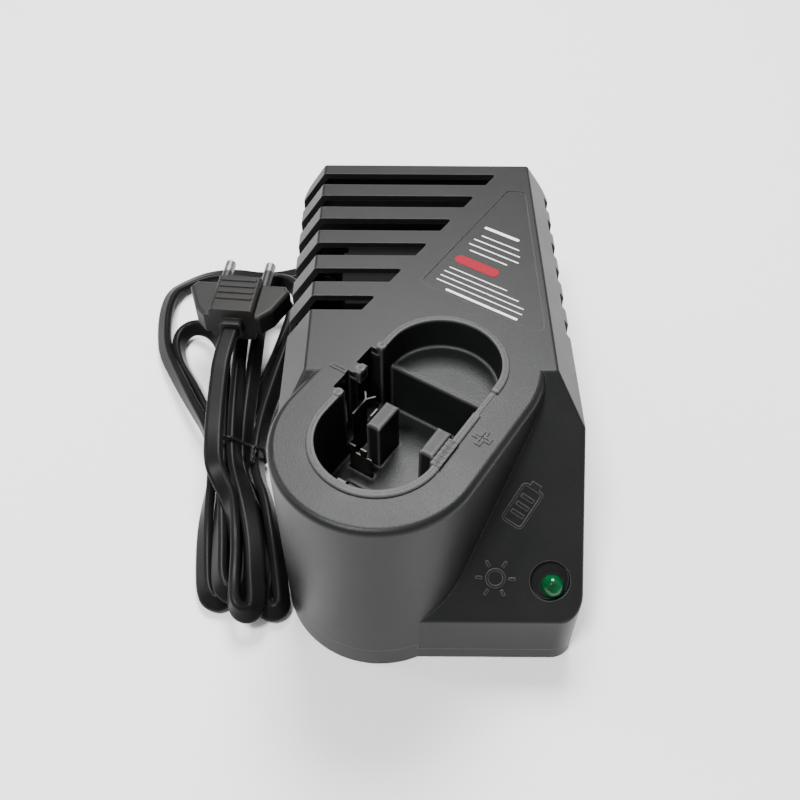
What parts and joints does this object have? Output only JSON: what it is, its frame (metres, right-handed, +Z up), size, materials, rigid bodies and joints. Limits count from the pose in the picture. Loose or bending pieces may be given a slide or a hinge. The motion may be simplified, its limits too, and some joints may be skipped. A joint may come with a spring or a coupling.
{
  "type": "power tool battery charger",
  "caption": "Mains battery charger with a vented case, a slanted round-ended battery well with sprung contacts, a status lamp and a folded two-pin mains lead.",
  "frame": {"origin": "centre of the case's footprint on the surface it stands on, without the lead", "axes": "+Z up, +Y towards the rear wall where the lead enters, +X to the right of a viewer who faces the sloping front"},
  "size_m": [0.1837, 0.2454, 0.0885],
  "materials": {
    "case_plastic": "fine matt texture, charcoal grey",
    "tray_plastic": "fine matt texture, charcoal grey",
    "foot_rubber": "soft black rubber",
    "screw_steel": "zinc-plated",
    "socket_plastic": "satin, near black",
    "carrier_plastic": "satin, near black",
    "contact_metal": "nickel-plated spring metal",
    "lamp_green": "clear green moulding",
    "board_green": "lacquered board",
    "chip_black": "moulded epoxy",
    "can_sleeve": "sleeved cans",
    "fuse_metal": "glass tube in metal clips",
    "sink_aluminium": "plain extrusion",
    "core_steel": "varnished laminations",
    "bobbin_plastic": "natural nylon",
    "winding_tape": "yellow tape over copper",
    "bracket_steel": "zinc-plated strap",
    "cord_black": "soft black vinyl",
    "wire_red": "insulated wire",
    "wire_blue": "insulated wire",
    "wire_brown": "insulated wire",
    "tie_black": "coated wire tie",
    "plug_black": "moulded vinyl",
    "pin_metal": "nickel-plated brass"
  },
  "bodies": {
    "case": {"top_cover": "case_plastic", "base_tray": "tray_plastic", "rubber_feet": "foot_rubber", "case_screws": "screw_steel", "battery_socket": "socket_plastic", "contact_carrier": "carrier_plastic", "status_lamp": "lamp_green", "circuit_board": "board_green", "board_screws": "screw_steel", "control_chip": "chip_black", "filter_capacitors": "can_sleeve", "rectifier_diodes": "chip_black", "fuse": "fuse_metal", "heat_sink": "sink_aluminium", "power_transistor": "chip_black", "transformer_core": "core_steel", "transformer_bobbin": "bobbin_plastic", "transformer_winding": "winding_tape", "transformer_bracket": "bracket_steel", "transformer_screws": "screw_steel", "cord_gland": "cord_black", "cord_clamp": "carrier_plastic", "clamp_screws": "screw_steel", "lead_end": "cord_black", "output_wires": "wire_red", "lamp_wires": "wire_red", "transformer_leads": "wire_blue", "mains_wires": "wire_brown", "mains_lead": "cord_black", "plug_lead": "cord_black", "lead_hank": "cord_black", "hank_tie": "tie_black", "plug_body": "plug_black", "plug_pins": "pin_metal"},
    "negative_blade": {"negative_contact": "contact_metal"},
    "positive_blade": {"positive_contact": "contact_metal"},
    "temperature_blade": {"temperature_contact": "contact_metal"},
    "coding_blade": {"coding_contact": "contact_metal"}
  },
  "joints": [
    {"name": "negative_contact_flex", "type": "hinge", "parent": "case", "child": "negative_blade", "pos_m": [-0.02465, -0.03369, 0.0522], "axis": [-0.5417, -0.8406, 0], "range_deg": [0, 6], "stiffness_Nm_per_rad": 0.3},
    {"name": "positive_contact_flex", "type": "hinge", "parent": "case", "child": "positive_blade", "pos_m": [0.00469, -0.0526, 0.0522], "axis": [0.5417, 0.8406, 0], "range_deg": [0, 6], "stiffness_Nm_per_rad": 0.3},
    {"name": "temperature_contact_flex", "type": "hinge", "parent": "case", "child": "temperature_blade", "pos_m": [-0.01968, -0.03392, 0.0522], "axis": [-0.5417, -0.8406, 0], "range_deg": [0, 4], "stiffness_Nm_per_rad": 0.3},
    {"name": "coding_contact_flex", "type": "hinge", "parent": "case", "child": "coding_blade", "pos_m": [-0.02411, -0.04486, 0.0522], "axis": [0.8406, -0.5417, 0], "range_deg": [0, 6], "stiffness_Nm_per_rad": 0.3}
  ]
}
